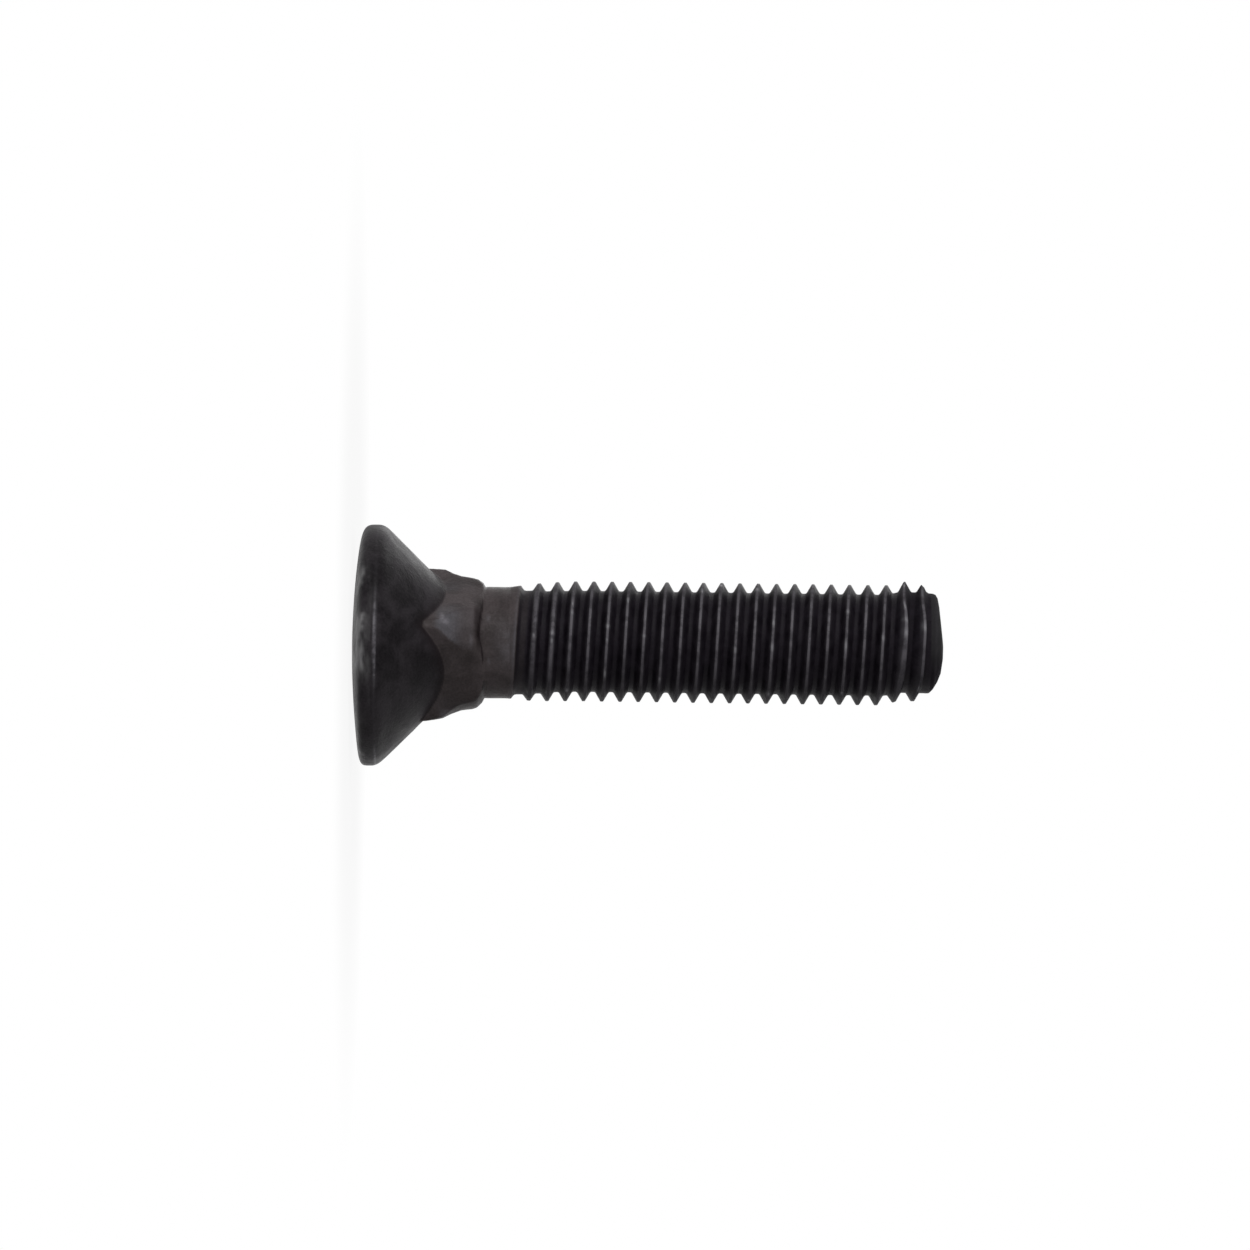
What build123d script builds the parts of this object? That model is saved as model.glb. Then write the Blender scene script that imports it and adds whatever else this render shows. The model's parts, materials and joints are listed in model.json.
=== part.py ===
from build123d import *
from math import asin, degrees, radians, sqrt, tan
import os

# A plow bolt: a forged steel bolt with a countersunk head, a square neck that stops it
# turning in its hole, a plain shank and a rolled coarse thread. It is one piece.
# Lengths are in millimetres and angles in degrees.
#
# The bolt stands on its head. The origin is the middle of the crown, where the head
# touches the ground, and +Z runs along the axis to the threaded end. Two flats of the
# neck face +X and -X, and the other two face +Y and -Y.

overall_length = 63.2  # crown to end face, a nominal 2 1/2 inch

# Head: a shallow dome, a narrow rim and a cone that seats in a countersunk hole.
# The rim is almost wholly taken up by the roundings above and below it.
head_diameter = 25.6
crown_radius = 85.0  # of the dome's sphere
rim_height = 2.1  # between the dome and the cone, before their corners are rounded
rim_land = 0.05  # straight part of the rim between its two roundings
crown_fillet = 1.3
countersink_angle = 89.0  # included angle of the cone

# Neck: a square bar whose corners are rounded off, a little more towards the thread.
neck_width = 12.3  # across the flats
neck_depth = 13.05  # from the crown to where the shoulder begins
neck_root_diameter = 16.5  # across the rounded corners, next to the cone
neck_tip_diameter = 14.2  # across the rounded corners, next to the shoulder
neck_tip_land = 1.5  # straight part of the corners, next to the shoulder
neck_taper = 1.9  # length over which the corners narrow
shoulder_angle = 45.0  # slope of the shoulder between neck and shank

# Shank and thread: 1/2-13 UNC. Rolling raises the thread above the shank, and its first
# turns are incomplete. The thread is modelled as the envelope of its crests.
shank_diameter = 11.86
shank_end = 16.3  # height at which the first crest begins to rise
thread_diameter = 12.7
threads_per_inch = 13
incomplete_turns = 2.5

# Threaded end: a chamfer takes the crests off, and a rounded nose stands beyond it.
nose_diameter = 10.6
nose_height = 1.5  # from the foot of the nose to the end face
nose_radius = 4.5  # of the curve that rounds its side
chamfer_angle = 45.0
end_face_diameter = 4.4

# What follows from those sizes
pitch = 25.4 / threads_per_inch
head_radius = head_diameter / 2
thread_radius = thread_diameter / 2
crown_sag = crown_radius - sqrt(crown_radius**2 - head_radius**2)
crown_slope = degrees(asin(head_radius / crown_radius))
rim_top = crown_sag + rim_height
cone_top = rim_top + head_radius / tan(radians(countersink_angle / 2))
crown_fillet_run = crown_fillet * tan(radians((90 - crown_slope) / 2))
rim_fillet_run = rim_height - rim_land - crown_fillet_run
rim_fillet = rim_fillet_run / tan(radians(countersink_angle / 4))
taper_top = neck_depth - neck_tip_land
shoulder_width = (neck_tip_diameter - shank_diameter) / 2
shoulder_top = neck_depth + shoulder_width * tan(radians(shoulder_angle))
full_thread = shank_end + incomplete_turns * pitch
nose_foot = overall_length - nose_height
chamfer_width = (thread_diameter - nose_diameter) / 2
chamfer_foot = nose_foot - chamfer_width * tan(radians(chamfer_angle))

# The head: dome, rim and countersunk cone, turned about the axis
with BuildPart() as head:
    with BuildSketch(Plane.XZ) as head_outline:
        crown_corner = (head_radius, crown_sag)
        rim_corner = (head_radius, rim_top)
        with BuildLine():
            RadiusArc((0, 0), crown_corner, -crown_radius)
            Polyline(crown_corner, rim_corner, (0, cone_top), (0, 0))
        make_face()
        fillet(head_outline.vertices().sort_by_distance(crown_corner)[0], crown_fillet)
        fillet(head_outline.vertices().sort_by_distance(rim_corner)[0], rim_fillet)
    revolve(axis=Axis.Z)

# The neck: a square bar, its corners turned down to a rounded outline
with BuildPart() as neck:
    with BuildSketch(Plane.XY.offset(rim_top)):
        Rectangle(neck_width, neck_width)
    extrude(amount=shoulder_top - rim_top)
    with BuildSketch(Plane.XZ):
        with BuildLine():
            Polyline(
                (0, rim_top),
                (neck_root_diameter / 2, rim_top),
                (neck_root_diameter / 2, taper_top - neck_taper),
                (neck_tip_diameter / 2, taper_top),
                (neck_tip_diameter / 2, neck_depth),
                (shank_diameter / 2, shoulder_top),
                (0, shoulder_top),
                close=True,
            )
        make_face()
    revolve(axis=Axis.Z, mode=Mode.INTERSECT)

# The shank, the thread's envelope and the rounded end, turned about the axis
with BuildPart() as shank:
    with BuildSketch(Plane.XZ):
        with BuildLine():
            side = Polyline(
                (0, rim_top),
                (shank_diameter / 2, rim_top),
                (shank_diameter / 2, shank_end),
                (thread_radius, full_thread),
                (thread_radius, chamfer_foot),
                (nose_diameter / 2, nose_foot),
            )
            end_corner = (end_face_diameter / 2, overall_length)
            RadiusArc(side @ 1, end_corner, -nose_radius)
            Polyline(end_corner, (0, overall_length), side @ 0)
        make_face()
    revolve(axis=Axis.Z)

with BuildPart() as plow_bolt:
    add(head.part)
    add(neck.part)
    add(shank.part)

os.makedirs("parts", exist_ok=True)
plow_bolt.part.label = "plow_bolt"
export_step(plow_bolt.part, "parts/plow_bolt.step")
print("box", plow_bolt.part.bounding_box(), "volume", round(plow_bolt.part.volume))
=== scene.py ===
# %% [markdown]
# # A plow bolt
# A plow bolt holds the share on a plow. Its countersunk head sinks flush into the share,
# the square neck under the head sits in a square hole so that the bolt can't turn, and a
# nut goes on the coarse thread behind. It is forged from one bar of steel, its thread is
# rolled, and the whole bolt is blackened in hot oxide and oil.
#
# The bolt stands on its head, with its axis along +Z. The camera lies on its side, so the
# bolt runs across the view. Lengths are in millimetres until a mesh is made, because a
# bolt's drawing is in millimetres too. The sizes that another part would meet, such as the
# thread's radius, come from the part's own record.

# %% Load the frame
import json
import math
import random

import bpy
import numpy as np
from mathutils import Matrix, Vector, noise


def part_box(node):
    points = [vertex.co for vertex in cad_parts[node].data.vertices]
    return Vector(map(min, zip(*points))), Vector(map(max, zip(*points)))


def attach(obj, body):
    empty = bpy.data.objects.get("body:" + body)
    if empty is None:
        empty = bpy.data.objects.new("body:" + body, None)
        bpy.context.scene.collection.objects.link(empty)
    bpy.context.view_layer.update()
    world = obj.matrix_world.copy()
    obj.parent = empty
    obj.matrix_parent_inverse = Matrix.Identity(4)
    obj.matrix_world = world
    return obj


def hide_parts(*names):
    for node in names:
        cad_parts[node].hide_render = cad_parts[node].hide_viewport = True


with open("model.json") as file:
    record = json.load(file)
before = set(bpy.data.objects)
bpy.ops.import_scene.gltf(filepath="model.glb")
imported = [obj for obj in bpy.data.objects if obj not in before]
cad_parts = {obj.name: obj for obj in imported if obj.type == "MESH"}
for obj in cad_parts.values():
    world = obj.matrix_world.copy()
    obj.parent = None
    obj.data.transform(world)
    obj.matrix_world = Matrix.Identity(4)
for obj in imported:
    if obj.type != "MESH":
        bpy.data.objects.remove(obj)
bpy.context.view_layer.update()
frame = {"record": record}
MM = 0.001
_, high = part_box("plow_bolt")
mounts = {mount["name"]: mount for mount in frame["record"]["mounts"]}
length = high.z / MM
head_radius = high.x / MM
crest_radius = mounts["thread"]["dims"]["r_mm"]
neck_half = mounts["neck_flat_x"]["pos_m"][0] / MM
print("length", round(length, 2), "head radius", round(head_radius, 2))
print("crest radius", crest_radius, "neck half width", round(neck_half, 3))

# %% [markdown]
# ## Camera
# A bolt is drawn from the side. A close camera would spread the crests of the thread like a
# fan, so a long lens stands far away and keeps them parallel. It faces the bolt close to
# one corner of the neck, and is rolled a quarter turn so that the axis lies across the
# view. The bolt dips a little to the right. The camera's three directions are written into
# its matrix, because a roll about the view is hard to get right with angles.

# %% Camera
VIEW_ANGLE = math.radians(239.5)  # the side of the bolt that faces the camera
DIP = math.radians(0.75)
DISTANCE = 0.856
VIEW_WIDTH = 0.13375  # what the view spans at the bolt's axis
SENSOR = 36.0
AIM_HEIGHT = 29.13  # how far along the bolt the middle of the view lies
AIM_ASIDE = 1.81  # and how far beside its axis


def outward(angle):
    """The horizontal direction at that angle round the bolt."""
    return Vector((math.cos(angle), math.sin(angle), 0.0))


def add_camera():
    to_camera = outward(VIEW_ANGLE)
    side = outward(VIEW_ANGLE - math.pi / 2)
    axis = Vector((0.0, 0.0, 1.0))
    right = math.cos(DIP) * axis + math.sin(DIP) * side
    up = math.cos(DIP) * side - math.sin(DIP) * axis
    aim = Vector((0.0, 0.0, AIM_HEIGHT * MM)) + AIM_ASIDE * MM * side
    data = bpy.data.cameras.new("camera")
    data.sensor_width = SENSOR
    data.lens = SENSOR * DISTANCE / VIEW_WIDTH
    data.clip_end = 100.0
    camera = bpy.data.objects.new("camera", data)
    bpy.context.scene.collection.objects.link(camera)
    turn = Matrix((right, up, to_camera)).transposed().to_4x4()
    camera.matrix_world = Matrix.Translation(aim + DISTANCE * to_camera) @ turn
    bpy.context.scene.camera = camera
    return camera


camera = add_camera()
print("lens", round(camera.data.lens, 1))
print("camera at", [round(value, 3) for value in camera.matrix_world.translation])

# %% [markdown]
# ## One skin
# Head, neck, shank and thread are one piece of steel, so they are one skin here. It could
# be cut with booleans, but those leave long thin faces along the thread. Instead the skin
# is laid out in rings of points. Every ring has the same number of columns, so the rings
# join face to face from the crown to the end. The columns stand closer together at the four
# corners of the neck, where the form turns quickly.

# %% Columns
COLUMNS = 160
GATHERED = 0.14  # how far columns move towards the neck's corners, in radians


def column_angles():
    steps = np.arange(COLUMNS) * 2 * math.pi / COLUMNS
    return steps + GATHERED * np.sin(4 * steps)


phi = column_angles()
print("columns", COLUMNS, "closest", round(float(np.degrees(np.diff(phi)).min()), 2), "degrees")

# %% [markdown]
# ### Blends
# Forged steel has no hard borders: two surfaces run into each other over a small rounding,
# and worn places fade out. A bevel could round a finished mesh, but the form here comes
# from formulas, so its roundings are formulas too. They are the smaller or the larger of
# two radii, rounded over where they cross, and a few soft steps along the bolt and round it.

# %% Blends
def smooth_step(value, start, end):
    """0 before the start, 1 past the end, and a soft rise between them."""
    share = np.clip((value - start) / (end - start), 0.0, 1.0)
    return share * share * (3 - 2 * share)


def fade_out(value, start, end):
    """1 before the start, 0 past the end, and a soft fall between them."""
    return 1 - smooth_step(value, start, end)


def bell(away, width, power=2):
    """1 where away is 0, and small beyond the width. A power of 4 gives a flat top."""
    return np.exp(-((away / width) ** power))


def soft_min(first, second, blend):
    """The smaller of two radii, rounded over where they cross."""
    share = np.clip(0.5 + 0.5 * (second - first) / blend, 0.0, 1.0)
    return second + (first - second) * share - blend * share * (1 - share)


def soft_max(first, second, blend):
    return -soft_min(-first, -second, blend)


def turned(angle, middle):
    """How far an angle is from the middle one, in radians, either way."""
    return (angle - middle + math.pi) % (2 * math.pi) - math.pi


def side_share(angle, middle):
    """1 on the side of the bolt at the middle angle, and 0 on the opposite side."""
    return 0.5 + 0.5 * np.cos(angle - middle)


print("a blend of 0.2 takes", round(1.0 - float(soft_min(1.0, 1.0, 0.2)), 3), "off a crossing")

# %% [markdown]
# ### Lumps
# Nothing that was forged or worn is even. A Displace modifier could add that, but it would
# move every face alike, and the lumps are needed in other places too: to break up the painted
# shade and the scuffs. So they are a function that gives smooth random waves at any point.

# %% Lumps
def lumps(x, y, z, size, seed):
    """Smooth random waves, about -1 to 1, of that size in millimetres."""
    shift = Vector((seed * 17.3, seed * 5.1, seed * 9.7))  # each seed has its own region
    points = zip(np.ravel(x), np.ravel(y), np.ravel(z))
    values = [noise.noise(Vector(point) / size + shift) for point in points]
    return np.array(values).reshape(np.shape(x))


print("lumps along 3 mm", lumps(np.zeros(4), np.zeros(4), np.arange(4.0), 2.0, 1).round(2))

# %% [markdown]
# ## The head's outline
# The head is a low dome, a rounded rim and a cone that sinks into the share. A lathe would
# turn it from one outline, and a Screw modifier does the same, but the skin needs the rings
# themselves. So the outline is drawn once, as the dome's arc and two short curves that
# leave and arrive along their neighbours, and each of its points becomes a ring.

# %% Head outline
CROWN_RADIUS = 85.0
CROWN_FIRST, CROWN_LAST = 0.6, 10.4  # the radii that the dome's arc starts and ends at
RIM_HEIGHT = 2.4  # of the widest place
RIM_SPREAD = 0.1  # how far forging spread the rim past its drawn radius
RIM_PULLS = (2.6, 1.15)  # how far the curve from the dome to the rim follows each end
SHOULDER_PULLS = (0.55, 0.55)  # the same from the rim to the cone
CONE_ANGLE = math.radians(44.5)
CONE_SLOPE = math.tan(CONE_ANGLE)
CONE_APEX = 16.18  # where the cone would meet the axis
CONE_START = 3.75


def cone_radius(z):
    return (CONE_APEX - z) * CONE_SLOPE


def bend(ends, leans, pulls, share):
    """A point on the curve between two ends that leaves and arrives along the leans."""
    start, end = np.array(ends[0]), np.array(ends[1])
    first = start + pulls[0] * np.array(leans[0])
    second = end - pulls[1] * np.array(leans[1])
    back = 1 - share
    point = back**3 * start + 3 * back**2 * share * first
    point = point + 3 * back * share**2 * second + share**3 * end
    return tuple(point)


def curve(ends, leans, pulls, count):
    """That many points of such a curve, without its start."""
    return [bend(ends, leans, pulls, share) for share in np.linspace(0.0, 1.0, count + 1)[1:]]


def head_outline():
    """Radius and height from the crown's middle to the start of the cone."""
    points = []
    for radius in np.linspace(CROWN_FIRST, CROWN_LAST, 16):
        points.append((radius, CROWN_RADIUS - math.sqrt(CROWN_RADIUS**2 - radius**2)))
    crown_end = points[-1]
    widest = (head_radius + RIM_SPREAD, RIM_HEIGHT)
    cone_start = (cone_radius(CONE_START), CONE_START)
    crown_lean = math.asin(crown_end[0] / CROWN_RADIUS)
    along_crown = (math.cos(crown_lean), math.sin(crown_lean))
    along_axis = (0.0, 1.0)
    along_cone = (-math.sin(CONE_ANGLE), math.cos(CONE_ANGLE))
    points += curve((crown_end, widest), (along_crown, along_axis), RIM_PULLS, 16)
    points += curve((widest, cone_start), (along_axis, along_cone), SHOULDER_PULLS, 8)
    return points


outline = head_outline()
print("outline points", len(outline), "widest", round(max(r for r, z in outline), 2))

# %% [markdown]
# ## Neck and shank
# The neck is a square bar. Its corners are nearly sharp beside the head and are turned down
# towards the shank, because the die that holds the bar there is round. It could be a cube
# with bevelled corners, joined to the cone by a boolean. Here a section is the smaller of a
# square and a circle, and the circle shrinks along the neck, which gives the curved ridges
# on the corners by itself. Forging isn't exact, so the die sits a little off the middle,
# one corner is crushed further, and the shoulder wanders on the side that was knocked.

# %% Neck section
SHANK_RADIUS = 5.93
# Height, and the radius that the round die leaves on the corners there.
DIE_PROFILE = [(7.0, 8.5), (9.0, 8.27), (9.8, 8.12), (10.7, 7.55), (11.6, 7.2)]
DIE_PROFILE += [(12.9, 7.02), (13.4, 6.87), (14.0, 6.38), (14.15, 5.96), (16.0, 5.93)]
DIE_HEIGHTS, DIE_RADII = zip(*DIE_PROFILE)
NECK_BLEND = 0.09  # rounds the ridges
DIE_ASIDE = 0.15  # how far the round die sits off the middle
DIE_SIDE = math.radians(135)
CRUSHED = 0.45  # how far one corner is pressed down on one side
CRUSHED_SIDE = math.radians(250)
CRUSHED_WIDTH = 0.36  # in radians, either way from that side
SHOULDER_WANDER = 0.22  # how far the shoulder moves up and down on the knocked side
SHOULDER_EARLY = 0.3  # and how much sooner its step comes there
NECK_END = (13.0, 14.4)  # heights between which the neck runs out


def die_height(z, angle):
    """Height along the turned-down profile, which wanders a little on the knocked side."""
    facing = turned(angle, VIEW_ANGLE)
    wander = SHOULDER_WANDER * np.tanh(facing / 0.12) * bell(facing, 0.9)
    early = SHOULDER_EARLY * bell(facing, 0.5) * smooth_step(z, 13.3, 13.7)
    return z - wander + early


def neck_square(angle):
    return neck_half / np.maximum(np.abs(np.cos(angle)), np.abs(np.sin(angle)))


def neck_circle(z, angle):
    """The round part of the die, which shrinks towards the shank."""
    circle = np.interp(die_height(z, angle), DIE_HEIGHTS, DIE_RADII)
    in_neck = fade_out(z, *NECK_END)
    circle = circle - DIE_ASIDE * in_neck * np.cos(angle - DIE_SIDE)
    crushed = smooth_step(z, 8.8, 10.2) * bell(turned(angle, CRUSHED_SIDE), CRUSHED_WIDTH)
    return circle - CRUSHED * in_neck * crushed


def neck_radius(z, angle):
    """The square where it is the smaller, and the circle elsewhere."""
    return soft_min(neck_square(angle), neck_circle(z, angle), NECK_BLEND)


print("corner", round(float(neck_radius(9.0, np.array([math.radians(225)]))[0]), 2))

# %% [markdown]
# ## The crests
# A rolled thread is pressed into the bar between dies, so its crests stand above the shank
# and the first turns are not quite full. At the other end the crests come down a little,
# one of them stands proud, and a chamfer trims the last ones, sooner on one side. A Screw
# modifier makes a clean thread in a moment, but each turn of it is like the next. So the
# crests get one line along the bolt that says how far out they reach at any place.

# %% Crests
FULL_CREST = crest_radius + 0.08  # rolled a little over its size
CREST_START = 16.6
CREST_RISE = 2.6  # how far along the bolt the crests take to rise
CREST_BLEND = 0.12  # rounds the start of the chamfer
END_LEAN = math.radians(149.5)  # the side where the end keeps its shoulder
LAST_TURNS = (56.8, 58.6)  # heights between which the last turns begin
LAST_TURNS_LOW = 0.16  # how much lower their crests are
PROUD_CREST = 0.28  # how far one crest stands out of its neighbours
PROUD_HEIGHT, PROUD_REACH = 59.2, 0.7
TRIM_START = 60.65  # the chamfer takes the crests off above this height
TRIM_SLANT = 0.3  # how much higher it starts on the side away from END_LEAN
TRIM_LEAST = 5.2  # the radius that it stops at


def crest_line(z, angle):
    """Radius of the crests: low where the thread starts, and trimmed at the end."""
    rise = 1 - np.exp(-np.maximum(z - CREST_START, 0.0) / CREST_RISE)
    full = SHANK_RADIUS + (FULL_CREST - SHANK_RADIUS) * rise
    full = full - LAST_TURNS_LOW * smooth_step(z, *LAST_TURNS)
    proud = bell(z - PROUD_HEIGHT, PROUD_REACH) * np.maximum(np.cos(angle - END_LEAN), 0.0) ** 2
    full = full + PROUD_CREST * proud
    trim_start = TRIM_START + TRIM_SLANT * (1 - side_share(angle, END_LEAN))
    trim = crest_radius - (z - trim_start)
    return soft_min(full, np.maximum(trim, TRIM_LEAST), CREST_BLEND)


print("crest radius at 40 mm", round(float(crest_line(40.0, 0.0)), 2))

# %% [markdown]
# ## The groove
# The groove is a sixty degree V with a rounded root, 13 turns to the inch and left-hand.
# Cutting it with a boolean helix is slow and leaves slivers. Here every point is told how
# many turns it lies along the helix, and so how far it is from the middle of the groove,
# and its radius follows from that. Where a crest isn't full, the flanks close in and keep
# it narrow. The first groove is shallower, and wider on the shank's side, because the dies
# take hold of the bar there.

# %% Groove
PITCH = 25.4 / 13
FLANK_SLOPE = math.tan(math.radians(30))
ROOT_RADIUS = 5.4
ROOT_HALF = 0.128  # half the root's width, in turns
ROOT_BLEND = 0.22
TOP_BLEND = 0.06  # rounds the edges of the crests
FIRST_ROOT_HALF = 0.3  # on the shank's side of the first groove
CREST_KEPT_NARROW = 0.7  # how far the flanks close in where a crest isn't full
THREAD_START = 17.78  # height of the groove's middle where it starts, at angle 0
GROOVE_STARTS = (THREAD_START - 0.35, THREAD_START + 0.1)  # it sinks in between these heights
GROOVE_DEEPENS = (THREAD_START + 0.5, THREAD_START + 4.0)  # and reaches its full depth here
FIRST_DEPTH = 0.8  # the share of its depth that the first groove has


def turns_along(z, angle):
    """Turns from the start of the groove. A whole number is the middle of the groove."""
    return (z - THREAD_START) / PITCH + angle / (2 * math.pi) - 1


def groove_depth(middle_height):
    """0 before the groove and 1 where it is cut in full."""
    deepening = smooth_step(middle_height, *GROOVE_DEEPENS)
    share = FIRST_DEPTH + (1 - FIRST_DEPTH) * deepening
    return share * smooth_step(middle_height, *GROOVE_STARTS)


def thread_radius(z, angle):
    turns = turns_along(z, angle)
    from_middle = turns - np.round(turns)
    crest = crest_line(z, angle)
    short = np.maximum(FULL_CREST - crest, 0.0)
    root_half = ROOT_HALF + CREST_KEPT_NARROW * short * FLANK_SLOPE / PITCH
    before_first = (from_middle < 0) & (np.round(turns) <= 0)
    root_half = np.where(before_first, FIRST_ROOT_HALF, root_half)
    flank = ROOT_RADIUS + (np.abs(from_middle) - root_half) * PITCH / FLANK_SLOPE
    groove = soft_max(flank, np.full_like(flank, ROOT_RADIUS), ROOT_BLEND)
    depth = groove_depth(z - from_middle * PITCH)
    groove = crest + (np.minimum(groove, crest + 1.0) - crest) * depth
    return soft_min(groove, crest, TOP_BLEND)


print("pitch", round(PITCH, 3), "depth", round(crest_radius - ROOT_RADIUS, 2))

# %% [markdown]
# ## Helical rows
# Rings at even heights would cut across the slanting groove and show steps in it. So in the
# thread the rows of points follow the helix themselves: a column holds the same points of
# the groove in every turn, each a little lower than in the column before, which makes the
# thread left-hand. Most of the rows lie near the crests and the root, where the form turns.

# %% Helical rows
THREAD_FOOT = 16.9  # plain rings end here and helical rows begin
NOSE_FOOT = 61.7  # and here they end
GROOVE_POINTS = [0.0, 0.06, 0.115, 0.15, 0.19, 0.31, 0.41, 0.435, 0.46, 0.5]
SPARE_TURNS = 2  # turns of rows past both ends, cut off when the rings are joined


def thread_rows():
    """Positions along the helix, in turns, from below the first groove to past the last."""
    shape = GROOVE_POINTS + [1 - share for share in GROOVE_POINTS[-2:0:-1]]
    first = int((THREAD_FOOT - THREAD_START) / PITCH) - SPARE_TURNS
    last = int((NOSE_FOOT - THREAD_START) / PITCH) + SPARE_TURNS + 1
    return len(shape), np.array([turn + share for turn in range(first, last) for share in shape])


row_step, rows = thread_rows()
print("rows in a turn", row_step, "rows", len(rows))

# %% [markdown]
# ## The end
# The end of the bolt is sheared and then knocked round, so it is not quite square: one
# side keeps a shoulder and the other is rounded off. Both could be filed off with a
# sculpting brush. Two outlines, one for each side, and a soft change between them round
# the bolt give the same form from fourteen pairs of numbers.

# %% Nose outlines
# Radius and height from the nose's foot to its middle.
SHOULDERED = [
    (5.3, 61.7),
    (5.28, 62.0),
    (5.16, 62.3),
    (4.8, 62.52),
    (4.0, 62.68),
    (2.0, 62.93),
    (0.6, 63.1),
]
ROUNDED = [
    (5.4, 61.6),
    (5.36, 61.75),
    (4.95, 62.15),
    (4.2, 62.6),
    (3.3, 62.95),
    (1.8, 63.17),
    (0.6, 63.2),
]


def nose_ring(share, angle):
    """Radius and height of one ring of the nose, share 0 at its foot and 1 at the end."""
    steps = np.linspace(0.0, 1.0, len(SHOULDERED))
    weight = side_share(angle, END_LEAN)
    sides = []
    for side in (SHOULDERED, ROUNDED):
        values = np.array(side)
        sides.append([np.interp(share, steps, values[:, part]) for part in (0, 1)])
    radius = weight * sides[0][0] + (1 - weight) * sides[1][0]
    height = weight * sides[0][1] + (1 - weight) * sides[1][1]
    return radius, height


nose_start = [round(float(value.min()), 2) for value in nose_ring(0.0, phi)]
print("nose starts at radius", nose_start[0], "height", nose_start[1])

# %% [markdown]
# ## Out of true
# No forged bolt is straight. The head and the shank sit a little to one side of the
# thread's axis, the last turns to the other, and the rim is tilted. The whole mesh could be
# bent with a lattice afterwards. Moving each ring as it is placed is exact, and it keeps
# the crown flat on the ground.

# %% Placing a ring
HEAD_ASIDE = -0.43  # how far each part lies towards END_LEAN
SHANK_ASIDE = -0.26
LAST_TURNS_ASIDE = 0.32
HEAD_ENDS = (4.0, 12.0)  # heights between which the head's lean fades out
SHANK_ENDS = (16.0, 25.0)
RIM_TILT = 0.022
TILT_STARTS = (0.3, 2.2)  # below this the crown stays on the ground
LUMP_KINDS = [(5.0, 0.6), (1.3, 0.3), (0.45, 0.1)]  # size, and share of the unevenness
CALM_RADIUS = 6.0  # nearer to the axis than this, the surface is calmer


def in_head(height):
    return fade_out(height, *HEAD_ENDS)


def axis_offset(height):
    """How far the bolt's own axis lies aside, towards END_LEAN, at that height."""
    aside = HEAD_ASIDE * in_head(height) + SHANK_ASIDE * fade_out(height, *SHANK_ENDS)
    return aside + LAST_TURNS_ASIDE * smooth_step(height, *LAST_TURNS)


def unevenness(x, y, z):
    """Broad, small and fine lumps together."""
    kinds = enumerate(LUMP_KINDS, start=1)
    return sum(share * lumps(x, y, z, size, seed) for seed, (size, share) in kinds)


def place(radius, height, strength):
    """Points of a ring or of many rings, with the forging's unevenness and its lean."""
    angle = phi + 0 * radius
    height = height + 0 * radius
    x, y = radius * np.cos(angle), radius * np.sin(angle)
    calm = np.minimum(1.0, radius / CALM_RADIUS)
    radius = radius + strength * unevenness(x, y, height) * calm
    aside = axis_offset(height)
    x = radius * np.cos(angle) + aside * math.cos(END_LEAN)
    y = radius * np.sin(angle) + aside * math.sin(END_LEAN)
    tilt = RIM_TILT * radius * np.cos(angle - END_LEAN) * in_head(height)
    return np.stack([x, y, height + tilt * smooth_step(height, *TILT_STARTS)], axis=-1)


print("axis aside", [round(float(axis_offset(height)), 2) for height in (0.0, 15.0, 40.0, 60.0)])

# %% [markdown]
# ## Plain rings
# Below the thread the surface is the largest of three: the cone of the head, the neck and
# the shank. Taking the larger radius joins them as a boolean union would, and the blend
# fillets the crease where the neck leaves the cone. The rings stand closest together along
# the neck, and the forged head and neck are rougher than the shank.

# %% Plain rings
CREASE_BLEND = 0.22  # fillets the neck into the cone
SHOULDER_BLEND = 0.12  # and the neck into the shank
CROWN_ROUGH, NECK_ROUGH, SHANK_ROUGH, END_ROUGH = 0.05, 0.11, 0.035, 0.05
SHANK_FROM = 14.5  # the neck's roughness ends here
RING_STEPS = [(4.05, 7.3, 0.3), (7.3, 15.0, 0.13), (15.0, THREAD_FOOT, 0.24)]  # from, to, step
NOSE_RINGS = 19


def plain_radius(z, angle):
    """Cone, neck and shank as one skin, filleted where they meet."""
    body = soft_max(neck_radius(z, angle), crest_line(z, angle), SHOULDER_BLEND)
    return soft_max(body, cone_radius(z), CREASE_BLEND)


def skin_rings():
    """The closed rings below the thread and above it."""
    below = []
    for radius, z in outline:
        below.append(place(np.full(COLUMNS, radius), np.full(COLUMNS, z), CROWN_ROUGH))
    heights = [z for steps in RING_STEPS for z in np.arange(*steps)]
    for z in heights + [THREAD_FOOT]:
        level = np.full(COLUMNS, z)
        strength = NECK_ROUGH if z < SHANK_FROM else SHANK_ROUGH
        below.append(place(plain_radius(level, phi), level, strength))
    above = []
    for share in np.linspace(0.0, 1.0, NOSE_RINGS):
        radius, height = nose_ring(share, phi)
        above.append(place(radius, height, END_ROUGH))
    return below, above


below, above = skin_rings()
print("plain rings", len(below), "nose rings", len(above))

# %% [markdown]
# ## Knocks
# Bolts are thrown together in a bin, and the crests knock against each other. Each knock
# leaves a small dent in a crest with bright metal in it. Most are scattered with a fixed
# seed, and a few hard ones have their own turn and angle. On one side the last two crests
# took a blow and are folded over towards the end. A texture could paint the dents, but a
# crest is seen against the light, where only real form shows. So they are part of the
# mesh, and a value stored on its points says where bare metal shows.

# %% Nicks in the crests
random.seed(12)
NICKS = 46
NICKED_TURNS = (1, 21)
NICK_ACROSS = (0.12, 0.5)  # least and most, along the crest
NICK_ALONG = (0.07, 0.16)  # along the bolt
NICK_DEPTH = (0.03, 0.1)
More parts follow.
